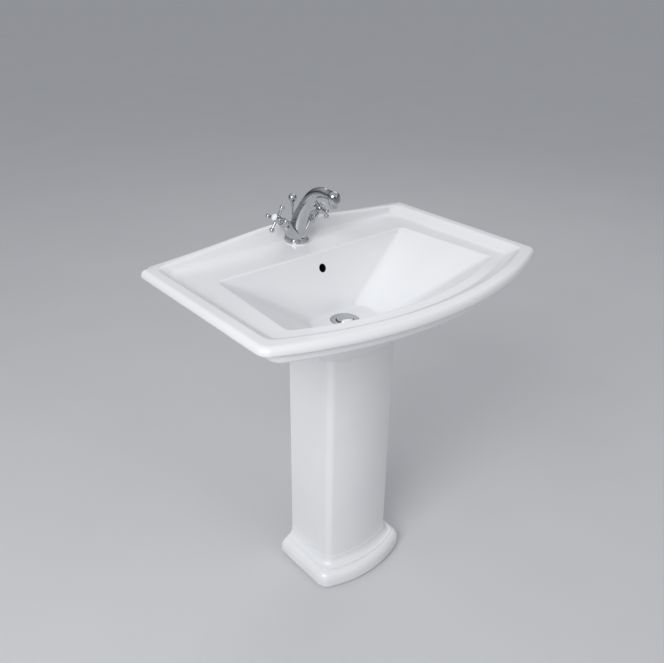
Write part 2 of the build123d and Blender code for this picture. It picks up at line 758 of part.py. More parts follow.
# Valves and handles: hot on the left as you face the basin, cold on the right
disc_low = valve_bore_start + disc_inset
disc_split = disc_low + disc_thickness
disc_high = disc_split + running_fit + disc_thickness
foot_low = disc_high + running_fit
foot_high = foot_low + spindle_foot_height
chamber_end = foot_high + close_gap
chamber_radius = disc_radius + running_fit
spindle_bore = spindle_radius + running_fit
hub_start = bonnet_end + handle_gap
screw_seat = spindle_end + screw_web
for word, side in (("hot", -1), ("cold", 1)):
    base = valve_plane(side)
    axis = turning_axis(base)

    with BuildPart() as valve_body:
        valve_profile = [
            (chamber_radius, valve_bore_start),
            (valve_bore_radius - running_fit, valve_bore_start),
            (valve_bore_radius - running_fit, arm_length),
            (valve_hex_radius, arm_length),
            (valve_hex_radius, arm_length + valve_hex_length),
            (valve_neck_radius, arm_length + valve_hex_length),
            (valve_neck_radius, valve_neck_end),
            (spindle_bore, valve_neck_end),
            (spindle_bore, chamber_end),
            (chamber_radius, chamber_end),
        ]
        revolve(half_section(base, valve_profile), axis=axis)
    write(valve_body, f"{word}_valve_body")

    with BuildPart() as fixed_disc:
        with BuildSketch(base.offset(disc_low)):
            Circle(disc_radius)
            with Locations((0, disc_port_offset)):
                Circle(disc_port_radius, mode=Mode.SUBTRACT)
        extrude(amount=disc_thickness)
    write(fixed_disc, f"{word}_fixed_disc")

    with BuildPart() as moving_disc:
        with BuildSketch(base.offset(disc_split + running_fit)):
            Circle(disc_radius)
            with Locations((0, -disc_port_offset)):
                Circle(disc_port_radius, mode=Mode.SUBTRACT)
        extrude(amount=disc_thickness)
    write(moving_disc, f"{word}_moving_disc")

    with BuildPart() as spindle:
        spindle_profile = [
            (0, foot_low),
            (disc_radius, foot_low),
            (disc_radius, foot_high),
            (spindle_radius, foot_high),
            (spindle_radius, spindle_end),
            (screw_radius + running_fit, spindle_end),
            (screw_radius + running_fit, spindle_end - screw_length),
            (0, spindle_end - screw_length),
        ]
        revolve(half_section(base, spindle_profile), axis=axis)
    write(spindle, f"{word}_spindle")

    with BuildPart() as bonnet:
        bonnet_bore = valve_hex_radius + close_gap
        bonnet_throat = valve_neck_radius + close_gap
        shoulder = arm_length + valve_hex_length + bonnet_step
        rib = arm_length + bonnet_step
        bonnet_profile = [
            (bonnet_bore, arm_length),
            (arm_end_radius, arm_length),
            (arm_end_radius, rib),
            (arm_end_radius - bonnet_groove, rib + bonnet_step / 2),
            (arm_end_radius, rib + bonnet_step),
            (arm_end_radius, rib + bonnet_step * 2),
            (bonnet_waist, rib + bonnet_step * 3),
            (bonnet_bead, rib + bonnet_step * 4),
            (bonnet_bead, rib + bonnet_step * 5),
            (bonnet_lip, bonnet_end),
            (bonnet_throat, bonnet_end),
            (bonnet_throat, shoulder + bonnet_step),
            (bonnet_bore, shoulder),
        ]
        revolve(half_section(base, bonnet_profile), axis=axis)
    write(bonnet, f"{word}_bonnet")

    with BuildPart() as cross_handle:
        cap_bore = cap_radius - cap_rim
        hub_profile = [
            (spindle_bore, hub_start),
            (hub_foot_radius, hub_start),
            (hub_waist_radius, hub_start + hub_waist_height),
            (hub_radius, handle_arm_at - hub_boss_half),
            (hub_radius, handle_arm_at + hub_boss_half),
            (cap_radius, hub_end),
            (cap_bore, hub_end),
            (cap_bore, screw_seat),
            (screw_radius + close_gap, screw_seat),
            (screw_radius + close_gap, spindle_end),
            (spindle_bore, spindle_end),
        ]
        revolve(half_section(base, hub_profile), axis=axis)
        collar_at = handle_arm_reach - handle_ball_radius
        spoke_profile = [
            (0, hub_radius - handle_arm_root),
            (handle_arm_radius, hub_radius - handle_arm_root),
            (handle_arm_tip_radius, collar_at),
            (handle_collar_radius, collar_at),
            (handle_collar_radius, collar_at + handle_collar_length),
            (0, collar_at + handle_collar_length),
        ]
        for spoke_dir in (base.x_dir, base.y_dir, -base.x_dir, -base.y_dir):
            spoke = Plane(base.offset(handle_arm_at).origin, x_dir=base.z_dir, z_dir=spoke_dir)
            revolve(half_section(spoke, spoke_profile), axis=turning_axis(spoke))
            with Locations(spoke.offset(handle_arm_reach).location):
                Sphere(handle_ball_radius)
    write(cross_handle, f"{word}_cross_handle")

    with BuildPart() as handle_screw:
        screw_profile = [
            (0, spindle_end - screw_length + screw_end_gap),
            (screw_radius, spindle_end - screw_length + screw_end_gap),
            (screw_radius, screw_seat),
            (screw_head_radius, screw_seat),
            (screw_head_radius, screw_seat + screw_head_height),
            (0, screw_seat + screw_head_height),
        ]
        revolve(half_section(base, screw_profile), axis=axis)
    write(handle_screw, f"{word}_handle_screw")

    with BuildPart() as index_cap:
        with BuildSketch(Plane(base.origin, x_dir=base.x_dir, z_dir=-base.y_dir)):
            with BuildLine():
                Polyline(
                    (0, hub_end + cap_rise),
                    (0, hub_end - cap_plug),
                    (cap_bore - running_fit, hub_end - cap_plug),
                    (cap_bore - running_fit, hub_end),
                    (cap_radius, hub_end),
                )
                TangentArc((0, hub_end + cap_rise), (cap_radius, hub_end), tangent=(1, 0))
            make_face()
        revolve(axis=axis)
    write(index_cap, f"{word}_index_cap")

# Tap fixing: a stud, a horseshoe of rubber and one of steel, and a nut, under the basin's slab
horseshoe_top = slab_foot
clamp_top = horseshoe_top - horseshoe_thickness
nut_top = clamp_top - clamp_thickness


def horseshoe(top, thickness, radius):
    """A plate with a slot for the rod and the tails, and a hole for the stud."""
    slot_length = clamp_radius + clamp_slot_front
    with BuildSketch(upright(tap_depth, top - thickness)) as plate:
        Circle(radius)
        with Locations((0, slot_length / 2 - clamp_slot_front)):
            Rectangle(clamp_slot_half_width * 2, slot_length, mode=Mode.SUBTRACT)
        with Locations((0, -stud_offset)):
            Circle(stud_radius + close_gap, mode=Mode.SUBTRACT)
    return plate.sketch


with BuildPart() as tap_horseshoe_seal:
    extrude(horseshoe(horseshoe_top, horseshoe_thickness, clamp_radius), amount=horseshoe_thickness)
write(tap_horseshoe_seal, "tap_horseshoe_seal")

with BuildPart() as tap_clamp_plate:
    extrude(horseshoe(clamp_top, clamp_thickness, clamp_radius - clamp_inset), amount=clamp_thickness)
write(tap_clamp_plate, "tap_clamp_plate")

stud_depth = tap_depth + stud_offset
with BuildPart() as tap_fixing_nut:
    with BuildSketch(upright(stud_depth, nut_top - fixing_nut_height)):
        RegularPolygon(fixing_nut_flats / 2, 6, major_radius=False)
        Circle(stud_radius + running_fit, mode=Mode.SUBTRACT)
    extrude(amount=fixing_nut_height)
write(tap_fixing_nut, "tap_fixing_nut")

with BuildPart() as tap_fixing_stud:
    stud_foot = nut_top - fixing_nut_height - stud_tail
    with BuildSketch(upright(stud_depth, stud_foot)):
        Circle(stud_radius)
    extrude(amount=landing_height + base_seal_height + socket_depth - stud_foot)
write(tap_fixing_stud, "tap_fixing_stud")

for word, side in (("hot", -1), ("cold", 1)):
    with BuildPart() as inlet_tail:
        tail_base = upright(tap_depth, tail_foot, side * tail_spacing / 2)
        tail_length = landing_height + base_seal_height + socket_depth - tail_foot
        tail_profile = [
            (tail_bore_radius, 0),
            (tail_end_radius, 0),
            (tail_end_radius, tail_end_length),
            (tail_radius, tail_end_length),
            (tail_radius, tail_length),
            (tail_bore_radius, tail_length),
        ]
        revolve(half_section(tail_base, tail_profile), axis=turning_axis(tail_base))
    write(inlet_tail, f"{word}_inlet_tail")

# Pop-up linkage: a knob on a rod behind the spout, a strap, and a lever that rocks on a ball
rod_base = upright(rod_depth, 0.0)
knob_foot = knob_top - knob_height
knob_middle = knob_top - knob_radius
knob_waist = knob_top - knob_stem_drop
with BuildPart() as lift_knob:
    with BuildSketch(Plane(rod_base.origin, x_dir=rod_base.x_dir, z_dir=-rod_base.y_dir)):
        with BuildLine():
            TangentArc((0, knob_top), (knob_radius, knob_middle), tangent=(1, 0))
            TangentArc((knob_radius, knob_middle), (knob_stem_radius, knob_waist), tangent=(0, -1))
            Polyline(
                (knob_stem_radius, knob_waist),
                (rod_radius + knob_neck, knob_foot),
                (rod_radius + running_fit, knob_foot),
                (rod_radius + running_fit, knob_foot + knob_socket),
                (0, knob_foot + knob_socket),
                (0, knob_top),
            )
        make_face()
    revolve(axis=turning_axis(rod_base))
write(lift_knob, "lift_knob")

with BuildPart() as lift_rod:
    with BuildSketch(upright(rod_depth, rod_foot)):
        Circle(rod_radius)
    extrude(amount=knob_foot + knob_socket - rod_foot)
write(lift_rod, "lift_rod")

# the strap is a block clamped to the rod's foot, with a tongue that hangs down to the lever
lever_slope = math.tan(math.radians(lever_tilt))
lever_at_strap = lever_height - lever_arm * lever_slope
strap_middle = Plane.XZ.offset(-from_wall(rod_depth))
tongue_top = strap_top - strap_block_height + strap_tongue_root
tongue_length = tongue_top - strap_foot
clamp_height = strap_top - strap_block_height / 2
strap_side = Plane((0, from_wall(rod_depth), clamp_height), x_dir=(0, 1, 0), z_dir=(1, 0, 0))
with BuildPart() as clevis_strap:
    with BuildSketch(upright(rod_depth, strap_top - strap_block_height)):
        Rectangle(strap_block_width, strap_block_depth)
    extrude(amount=strap_block_height)
    with BuildSketch(strap_middle):
        with Locations((0, strap_foot + tongue_length / 2)):
            SlotCenterToCenter(tongue_length - strap_width, strap_width, rotation=90)
        for step in range(strap_hole_count):
            with Locations((0, lever_at_strap + step * strap_hole_pitch)):
                Circle(strap_hole_radius, mode=Mode.SUBTRACT)
    extrude(amount=strap_thickness / 2, both=True)
    with BuildSketch(upright(rod_depth, rod_foot)):
        Circle(rod_radius + running_fit)
    extrude(amount=strap_top - rod_foot, mode=Mode.SUBTRACT)
    with BuildSketch(strap_side):
        Circle(clevis_screw_radius + running_fit)
    extrude(amount=strap_block_width / 2, mode=Mode.SUBTRACT)
write(clevis_strap, "clevis_strap")

with BuildPart() as clevis_screw:
    with BuildSketch(strap_side.offset(rod_radius + running_fit)):
        Circle(clevis_screw_radius)
    extrude(amount=strap_block_width / 2 - rod_radius - running_fit)
    with BuildSketch(strap_side.offset(strap_block_width / 2)):
        Circle(clevis_screw_head_radius)
    extrude(amount=clevis_screw_head_height)
write(clevis_screw, "clevis_screw")

# the lever leans down towards the wall while the plug is up
lever_lean = math.radians(lever_tilt)
pivot = Plane((0, from_wall(pivot_depth), lever_height), x_dir=(1, 0, 0), z_dir=(0, 1, 0))
lever_line = Plane(pivot.origin, x_dir=(1, 0, 0), z_dir=(0, math.cos(lever_lean), -math.sin(lever_lean)))
nose_length = (pivot_offset + lever_nose) / math.cos(lever_lean)
tail_length = (lever_arm + lever_tail) / math.cos(lever_lean)
with BuildPart() as pop_up_lever:
    with BuildSketch(lever_line.offset(-nose_length)):
        Circle(lever_radius)
    extrude(amount=nose_length + tail_length)
    with Locations(lever_line.location):
        Sphere(ball_radius)
write(pop_up_lever, "pop_up_lever")

seat_bore = ball_radius + close_gap
seat_radius = seat_bore + seat_wall
boss_bore = seat_radius + running_fit
boss_radius = boss_bore + boss_wall
with BuildPart() as pivot_seat:
    seat_profile = [
        (seat_hole_radius, -ball_to_wall),
        (seat_radius, -ball_to_wall),
        (seat_radius, ball_to_nut),
        (seat_bore, ball_to_nut),
        (seat_bore, seat_floor - ball_to_wall),
        (seat_hole_radius, seat_floor - ball_to_wall),
    ]
    revolve(half_section(pivot, seat_profile), axis=turning_axis(pivot))
write(pivot_seat, "pivot_seat")

with BuildPart() as pivot_nut:
    nut_bore = boss_radius + close_gap
    nut_start = ball_to_nut + pivot_nut_end - pivot_nut_length
    nut_profile = [
        (nut_bore, nut_start),
        (nut_bore + pivot_nut_wall, nut_start),
        (nut_bore + pivot_nut_wall, ball_to_nut + pivot_nut_end),
        (pivot_nut_hole, ball_to_nut + pivot_nut_end),
        (pivot_nut_hole, ball_to_nut),
        (nut_bore, ball_to_nut),
    ]
    revolve(half_section(pivot, nut_profile), axis=turning_axis(pivot))
write(pivot_nut, "pivot_nut")

# Waste: a flange in the bowl, screwed into a body below that is drawn up by a nut
waste_base = upright(waste_depth, 0.0)
waste_axis = turning_axis(waste_base)
flange_foot = flange_seat + flange_seal_thickness
with BuildPart() as waste_flange:
    flange_profile = [
        (ledge_bore, flange_tube_end - spigot_length),
        (spigot_radius, flange_tube_end - spigot_length),
        (spigot_radius, flange_tube_end),
        (waste_tube_radius, flange_tube_end),
        (waste_tube_radius, flange_foot),
        (flange_radius, flange_foot),
        (flange_radius - flange_edge, flange_top),
        (throat_radius + flange_edge, flange_top),
        (throat_radius, flange_top - flange_edge),
        (throat_radius, ledge_height),
        (ledge_bore, ledge_height),
    ]
    revolve(half_section(waste_base, flange_profile), axis=waste_axis)
    # slots that take in the water from the overflow
    with BuildSketch(Plane.XZ.offset(-from_wall(waste_depth))):
        with Locations((0, slot_middle)):
            Rectangle(slot_width, slot_height)
    extrude(amount=waste_hole_radius, both=True, mode=Mode.SUBTRACT)
write(waste_flange, "waste_flange")

with BuildPart() as waste_flange_seal:
    seal_bore = waste_hole_radius + flange_seal_inset
    seal_radius = flange_radius - flange_seal_inset
    revolve(ring_section(waste_base, seal_bore, seal_radius, flange_seat, flange_foot), axis=waste_axis)
write(waste_flange_seal, "waste_flange_seal")

with BuildPart() as waste_body:
    spigot_bore = spigot_radius + running_fit
    spigot_end = flange_tube_end - spigot_length
    body_profile = [
        (tail_pipe_bore, tail_pipe_end),
        (tail_pipe_radius, tail_pipe_end),
        (tail_pipe_radius, waste_body_end - waste_body_taper),
        (waste_tube_radius, waste_body_end),
        (waste_tube_radius, flange_tube_end),
        (spigot_bore, flange_tube_end),
        (spigot_bore, spigot_end),
        (waste_body_bore, spigot_end),
        (waste_body_bore, waste_body_end),
        (tail_pipe_bore, waste_body_end - waste_body_taper / 2),
    ]
    revolve(half_section(waste_base, body_profile), axis=waste_axis)
    boss_end = waste_tube_radius - boss_root * 2
    boss_length = pivot_offset + ball_to_nut - boss_end
    with BuildSketch(pivot.offset(ball_to_nut)):
        Circle(boss_radius)
    extrude(amount=-boss_length)
    with BuildSketch(pivot.offset(ball_to_nut)):
        Circle(boss_bore)
    extrude(amount=-ball_to_nut - ball_to_wall, mode=Mode.SUBTRACT)
    with BuildSketch(pivot):
        Circle(lever_radius + lever_hole_play)
    extrude(amount=-pivot_offset, mode=Mode.SUBTRACT)
write(waste_body, "waste_body")

with BuildPart() as waste_back_washer:
    washer_foot = seat_height - back_washer_height
    washer_bore = waste_tube_radius + close_gap
    revolve(
        ring_section(waste_base, washer_bore, back_washer_radius, washer_foot, seat_height), axis=waste_axis
    )
write(waste_back_washer, "waste_back_washer")

with BuildPart() as waste_back_nut:
    with BuildSketch(upright(waste_depth, washer_foot - back_nut_height)):
        RegularPolygon(back_nut_radius, 6)
        Circle(waste_tube_radius + running_fit, mode=Mode.SUBTRACT)
    extrude(amount=back_nut_height)
write(waste_back_nut, "waste_back_nut")

# the plug stands open, one plug travel above its seat
plug_seal_foot = ledge_height + close_gap + plug_travel
plug_head_foot = plug_seal_foot + plug_seal_height
plug_edge = plug_head_foot + plug_thickness
keeper_foot = plug_seal_foot - plug_keeper_height
eye_height = lever_height + pivot_offset * lever_slope
with BuildPart() as waste_plug:
    with BuildSketch(Plane.XZ.offset(-from_wall(waste_depth))):
        with BuildLine():
            TangentArc((0, plug_edge + plug_dome), (plug_radius, plug_edge), tangent=(1, 0))
            Polyline(
                (plug_radius, plug_edge),
                (plug_radius, plug_head_foot),
                (plug_seal_bore, plug_head_foot),
                (plug_seal_bore, plug_seal_foot),
                (plug_keeper_radius, plug_seal_foot),
                (plug_keeper_radius, keeper_foot),
                (plug_stem_radius, keeper_foot - plug_neck_height),
                (plug_stem_radius, eye_height + plug_stem_radius),
                (0, eye_height + plug_stem_radius),
                (0, plug_edge + plug_dome),
            )
        make_face()
    revolve(axis=waste_axis)
    with BuildSketch(Plane.XZ.offset(-from_wall(waste_depth))):
        with Locations((0, eye_height)):
            Circle(plug_eye_radius)
            Circle(plug_eye_hole, mode=Mode.SUBTRACT)
    extrude(amount=plug_eye_thickness / 2, both=True)
write(waste_plug, "waste_plug")

with BuildPart() as plug_seal:
    plug_seal_inner = plug_seal_bore + running_fit
    revolve(
        ring_section(waste_base, plug_seal_inner, plug_seal_radius, plug_seal_foot, plug_head_foot),
        axis=waste_axis,
    )
write(plug_seal, "plug_seal")

# Bottle trap: a body with a dip tube, a cup that unscrews for cleaning, and two compression nuts
dip_bore = tail_pipe_radius + close_gap
dip_radius = dip_bore + dip_tube_wall
trap_bore = trap_body_radius - trap_wall
outlet = Plane((0, from_wall(outlet_end_depth), outlet_height), x_dir=(1, 0, 0), z_dir=(0, 1, 0))
with BuildPart() as trap_body:
    body_outside = [
        (0, trap_body_foot),
        (trap_body_radius, trap_body_foot),
        (trap_body_radius, trap_shoulder - trap_shoulder_bevel),
        (trap_body_radius - trap_shoulder_bevel, trap_shoulder),
        (trap_neck_radius, trap_shoulder),
        (trap_neck_radius, trap_inlet_top),
        (0, trap_inlet_top),
    ]
    revolve(half_section(waste_base, body_outside), axis=waste_axis)
    with BuildSketch(outlet):
        Circle(outlet_radius)
    extrude(amount=outlet_end_depth - waste_depth + dip_radius)
    body_inside = [
        (dip_radius, trap_body_foot),
        (trap_bore, trap_body_foot),
        (trap_bore, trap_shoulder - trap_shoulder_bevel - trap_wall),
        (trap_bore - trap_shoulder_bevel, trap_shoulder - trap_wall),
        (dip_radius, trap_shoulder - trap_wall),
    ]
    revolve(half_section(waste_base, body_inside), axis=waste_axis, mode=Mode.SUBTRACT)
    revolve(ring_section(waste_base, dip_bore, dip_radius, dip_tube_foot, trap_body_foot), axis=waste_axis)
    with BuildSketch(upright(waste_depth, trap_body_foot)):
        Circle(dip_bore)
    extrude(amount=trap_inlet_top - trap_body_foot, mode=Mode.SUBTRACT)
    with BuildSketch(outlet):
        Circle(outlet_bore)
    extrude(amount=-outlet_socket, mode=Mode.SUBTRACT)
    with BuildSketch(outlet):
        Circle(outlet_passage)
    extrude(amount=outlet_end_depth - waste_depth + dip_radius + trap_wall, mode=Mode.SUBTRACT)
write(trap_body, "trap_body")

seal_top = trap_inlet_top + inlet_seal_height
with BuildPart() as trap_inlet_seal:
    inlet_seal_bore = tail_pipe_radius + running_fit
    revolve(
        ring_section(waste_base, inlet_seal_bore, trap_neck_radius, trap_inlet_top, seal_top), axis=waste_axis
    )
write(trap_inlet_seal, "trap_inlet_seal")

with BuildPart() as trap_inlet_nut:
    inlet_nut_bore = trap_neck_radius + close_gap
    inlet_nut_profile = [
        (inlet_nut_bore, inlet_nut_foot),
        (inlet_nut_radius, inlet_nut_foot),
        (inlet_nut_radius, seal_top),
        (inlet_nut_radius - inlet_nut_end, seal_top + inlet_nut_end),
        (dip_bore, seal_top + inlet_nut_end),
        (dip_bore, seal_top),
        (inlet_nut_bore, seal_top),
    ]
    revolve(half_section(waste_base, inlet_nut_profile), axis=waste_axis)
write(trap_inlet_nut, "trap_inlet_nut")

cup_bore = trap_body_radius + close_gap
cup_ledge = trap_body_foot - cup_seal_height
with BuildPart() as trap_cup:
    cup_side = trap_body_radius
    cup_profile = [
        (0, cup_foot),
        (cup_side - cup_foot_bevel, cup_foot),
        (cup_side, cup_foot + cup_foot_bevel),
        (cup_side, cup_ledge - cup_rim_below),
        (cup_radius, cup_ledge - cup_rim_below / 2),
        (cup_radius, trap_body_foot + cup_overlap),
        (cup_bore, trap_body_foot + cup_overlap),
        (cup_bore, cup_ledge),
        (trap_bore, cup_ledge),
        (trap_bore, cup_foot + cup_foot_bevel),
        (trap_bore - cup_foot_bevel, cup_foot + trap_wall),
        (0, cup_foot + trap_wall),
    ]
    revolve(half_section(waste_base, cup_profile), axis=waste_axis)
write(trap_cup, "trap_cup")

with BuildPart() as trap_cup_seal:
    revolve(
        ring_section(waste_base, trap_bore, trap_body_radius, cup_ledge, trap_body_foot), axis=waste_axis
    )
write(trap_cup_seal, "trap_cup_seal")

with BuildPart() as trap_outlet_seal:
    revolve(
        ring_section(outlet, outlet_bore + running_fit, outlet_radius, 0, outlet_seal_height),
        axis=turning_axis(outlet),
    )
write(trap_outlet_seal, "trap_outlet_seal")

with BuildPart() as trap_outlet_nut:
    outlet_nut_bore = outlet_radius + close_gap
    outlet_nut_radius = outlet_nut_bore + outlet_nut_wall
    outlet_nut_face = outlet_seal_height + outlet_nut_end
    outlet_nut_profile = [
        (outlet_nut_bore, outlet_nut_face - outlet_nut_length),
        (outlet_nut_radius, outlet_nut_face - outlet_nut_length),
        (outlet_nut_radius, outlet_seal_height),
        (outlet_nut_radius - outlet_nut_end, outlet_nut_face),
        (outlet_bore + close_gap, outlet_nut_face),
        (outlet_bore + close_gap, outlet_seal_height),
        (outlet_nut_bore, outlet_seal_height),
    ]
    revolve(half_section(outlet, outlet_nut_profile), axis=turning_axis(outlet))
write(trap_outlet_nut, "trap_outlet_nut")
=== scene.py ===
# %% [markdown]
# # A pedestal wash basin
#
# A white vitreous china basin stands on a hollow china pedestal and carries a chrome mixer tap with
# cross handles. Under the basin hide the pop-up linkage, the waste and a bottle trap. The shapes could
# be modelled again here, but the engineering model already holds all of them. So this lesson loads its
# solids and only gives them their surfaces, their light and a camera.

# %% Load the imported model
import json
import math

import bmesh
import bpy
from mathutils import Matrix, Vector


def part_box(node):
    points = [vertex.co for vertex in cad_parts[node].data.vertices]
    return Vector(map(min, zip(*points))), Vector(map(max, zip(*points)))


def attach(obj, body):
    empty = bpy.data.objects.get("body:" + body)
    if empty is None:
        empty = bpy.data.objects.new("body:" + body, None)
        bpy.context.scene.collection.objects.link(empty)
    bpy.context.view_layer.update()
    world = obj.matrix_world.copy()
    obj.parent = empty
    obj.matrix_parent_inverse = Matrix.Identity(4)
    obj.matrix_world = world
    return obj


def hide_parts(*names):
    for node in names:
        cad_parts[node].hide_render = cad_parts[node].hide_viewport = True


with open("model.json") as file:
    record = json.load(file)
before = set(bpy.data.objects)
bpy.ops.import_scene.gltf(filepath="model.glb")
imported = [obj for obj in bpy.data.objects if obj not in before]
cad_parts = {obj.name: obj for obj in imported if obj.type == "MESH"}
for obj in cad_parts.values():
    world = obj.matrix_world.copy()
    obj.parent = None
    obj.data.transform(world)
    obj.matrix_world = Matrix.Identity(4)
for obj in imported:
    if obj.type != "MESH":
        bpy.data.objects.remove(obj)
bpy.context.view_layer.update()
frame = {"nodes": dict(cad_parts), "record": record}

nodes = frame["nodes"]
record = frame["record"]

# %% [markdown]
# ## The camera
#
# The photograph looks down on the basin from the front left. A camera could be turned by hand until the
# picture fits, but straight edges of the basin and the pedestal give its place, its turn and its lens
# more closely. So they were worked out from those, and are written here as plain numbers. The turn is
# built from three angles: yaw about the upright, pitch below the horizon and a slight roll.

# %% Place the camera
camera_place = Vector((-0.9453, -1.0141, 1.3928))
camera_yaw = math.radians(40.592)
camera_pitch = math.radians(27.769)
camera_roll = math.radians(0.821)
photo_width_px = 664
focal_px = 713.0
sensor_mm = 36.0

ahead = Vector((
    math.sin(camera_yaw) * math.cos(camera_pitch),
    math.cos(camera_yaw) * math.cos(camera_pitch),
    -math.sin(camera_pitch),
))
level_right = Vector((math.cos(camera_yaw), -math.sin(camera_yaw), 0.0))
level_up = level_right.cross(ahead)
rolled_right = level_right * math.cos(camera_roll) + level_up * math.sin(camera_roll)
rolled_up = level_up * math.cos(camera_roll) - level_right * math.sin(camera_roll)

camera_data = bpy.data.cameras.new("photo_camera")
camera_data.sensor_width = sensor_mm
camera_data.lens = focal_px / photo_width_px * sensor_mm
camera_data.clip_end = 200.0
camera = bpy.data.objects.new("photo_camera", camera_data)
turn = Matrix((rolled_right, rolled_up, -ahead)).transposed()
camera.matrix_world = Matrix.Translation(camera_place) @ turn.to_4x4()
bpy.context.scene.collection.objects.link(camera)
bpy.context.scene.camera = camera
bpy.context.scene.view_settings.view_transform = "Standard"
print("lens", round(camera_data.lens, 2), "mm")

# %% [markdown]
# ## Colours and sizes
#
# A finish needs colours and sizes. Both could be typed in the renderer's own numbers, but those are hard
# to read. Colours are written as the hex values that a colour picker shows, and one function turns them
# into linear light. Patterns are written as real sizes in millimetres, and another function turns a size
# into the scale of a texture.

# %% Colour and size helpers
mm_per_metre = 1000.0


def linear(hex_colour):
    """An sRGB hex colour as linear red, green, blue and a full alpha."""
    channels = [int(hex_colour[i:i + 2], 16) / 255 for i in (1, 3, 5)]
    return [c / 12.92 if c <= 0.04045 else ((c + 0.055) / 1.055) ** 2.4 for c in channels] + [1.0]


def metres(size_mm):
    """A size in metres, the unit of the scene."""
    return size_mm / mm_per_metre


def per_metre(size_mm):
    """The texture scale that makes a pattern repeat about every size_mm."""
    return mm_per_metre / size_mm


print("linear mid grey", [round(c, 3) for c in linear("#808080")])

# %% [markdown]
# ## Nodes
#
# Each finish is a small network of shader nodes. They could be added by hand in the editor, but a
# function keeps each one to a few lines: its settings go to sockets or to the node itself, and its links
# join it to nodes made before it. A socket goes by its name, or by its number where a node has several
# of the same name, as a sum or a mix has.

# %% Node helpers
mix_share = 0
first_colour = 6
second_colour = 7
mixed_colour = 2
first_number = 2
second_number = 3
mixed_number = 0


def add_node(material, kind, settings=None, links=None):
    """Add one node, set its sockets or properties, and link its inputs."""
    node = material.node_tree.nodes.new(kind)
    for name, value in (settings or {}).items():
        if isinstance(name, int) or name in node.inputs:
            node.inputs[name].default_value = value
        else:
            setattr(node, name, value)
    for name, source in (links or {}).items():
        material.node_tree.links.new(source, node.inputs[name])
    return node


def new_material(name):
    """A new material, its surface shader and the part's own coordinates."""
    material = bpy.data.materials.new(name)
    material.use_nodes = True
    shader = material.node_tree.nodes["Principled BSDF"]
    place = add_node(material, "ShaderNodeTexCoord").outputs["Object"]
    return material, shader, place


def set_shader(shader, **values):
    """Set the shader's constant sockets, written with _ for a space."""
    for name, value in values.items():
        shader.inputs[name.replace("_", " ")].default_value = value


print("helpers", add_node.__name__, new_material.__name__, set_shader.__name__)

# %% [markdown]
# ## Where the glaze ends
#
# The basin and the pedestal are dipped in glaze. The faces that meet the wall and the floor are wiped
# before firing and stay bare clay. The inside of the overflow, a round hole that runs back from the
# bowl, has no glaze either, and it is painted near-black as painted shade for the dark depth of the hole.
# These places could be painted face by face, but then they would follow the facets. Masks worked out
# from the part's own coordinates hold in every view.

# %% Mask the bare clay and the painted shade in the overflow
wall_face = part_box("basin")[1][1]


def mask_bare_clay(material, axes):
    """One on the wall face and under the foot, and nought elsewhere."""
    bare_edge_mm = 0.5
    at_wall = add_node(
        material, "ShaderNodeMath",
        {"operation": "GREATER_THAN", 1: wall_face - metres(bare_edge_mm)},
        {0: axes.outputs["Y"]},
    )
    at_floor = add_node(
        material, "ShaderNodeMath",
        {"operation": "LESS_THAN", 1: metres(bare_edge_mm)},
        {0: axes.outputs["Z"]},
    )
    bare = add_node(
        material, "ShaderNodeMath",
        {"operation": "MAXIMUM"},
        {0: at_wall.outputs[0], 1: at_floor.outputs[0]},
    )
    return bare.outputs[0]


def mask_overflow(material, place, axes):
    """One inside the overflow, where dark shade is painted, and nought elsewhere."""
    middle_mm = (0.0, 140.0, 774.0)
    radius_mm = 9.0
    reach_mm = 45.0
    fade_start = 1.04  # both fades are shares of the radius
    fade_end = 1.01
    across, along, height = (metres(value) for value in middle_mm)
    flat = add_node(
        material, "ShaderNodeVectorMath",
        {"operation": "MULTIPLY", 1: (1.0, 0.0, 1.0)},
        {0: place},
    )
    from_axis = add_node(
        material, "ShaderNodeVectorMath",
        {"operation": "DISTANCE", 1: (across, 0.0, height)},
        {0: flat.outputs["Vector"]},
    )
    in_hole = add_node(
        material, "ShaderNodeMapRange",
        {"From Min": metres(radius_mm * fade_start), "From Max": metres(radius_mm * fade_end)},
        {"Value": from_axis.outputs["Value"]},
    )
    near_bowl = add_node(
        material, "ShaderNodeMath",
        {"operation": "COMPARE", 1: along, 2: metres(reach_mm)},
        {0: axes.outputs["Y"]},
    )
    # painted shade: one where the inside of the overflow is painted near-black
    overflow_shade = add_node(
        material, "ShaderNodeMath",
        {"operation": "MULTIPLY"},
        {0: in_hole.outputs["Result"], 1: near_bowl.outputs[0]},
    )
    return overflow_shade.outputs[0]


print("wall face at y", round(wall_face, 4), "m")

# %% [markdown]
# ## The surface of the glaze
#
# The glaze is never quite flat: it ripples over a few centimetres like orange peel, and its white drifts
# a little where it ran thick or thin. Both could come from a picture, but noise needs no file and has no
# seams. One slow noise drives the white and the roughness together, and a finer one drives the bump.

# %% Pattern the glaze
glaze_ripple_mm = 22.0
glaze_drift_mm = 160.0
glaze_speck_mm = 3.0  # real specks are finer, and these are as coarse as they need to be to show


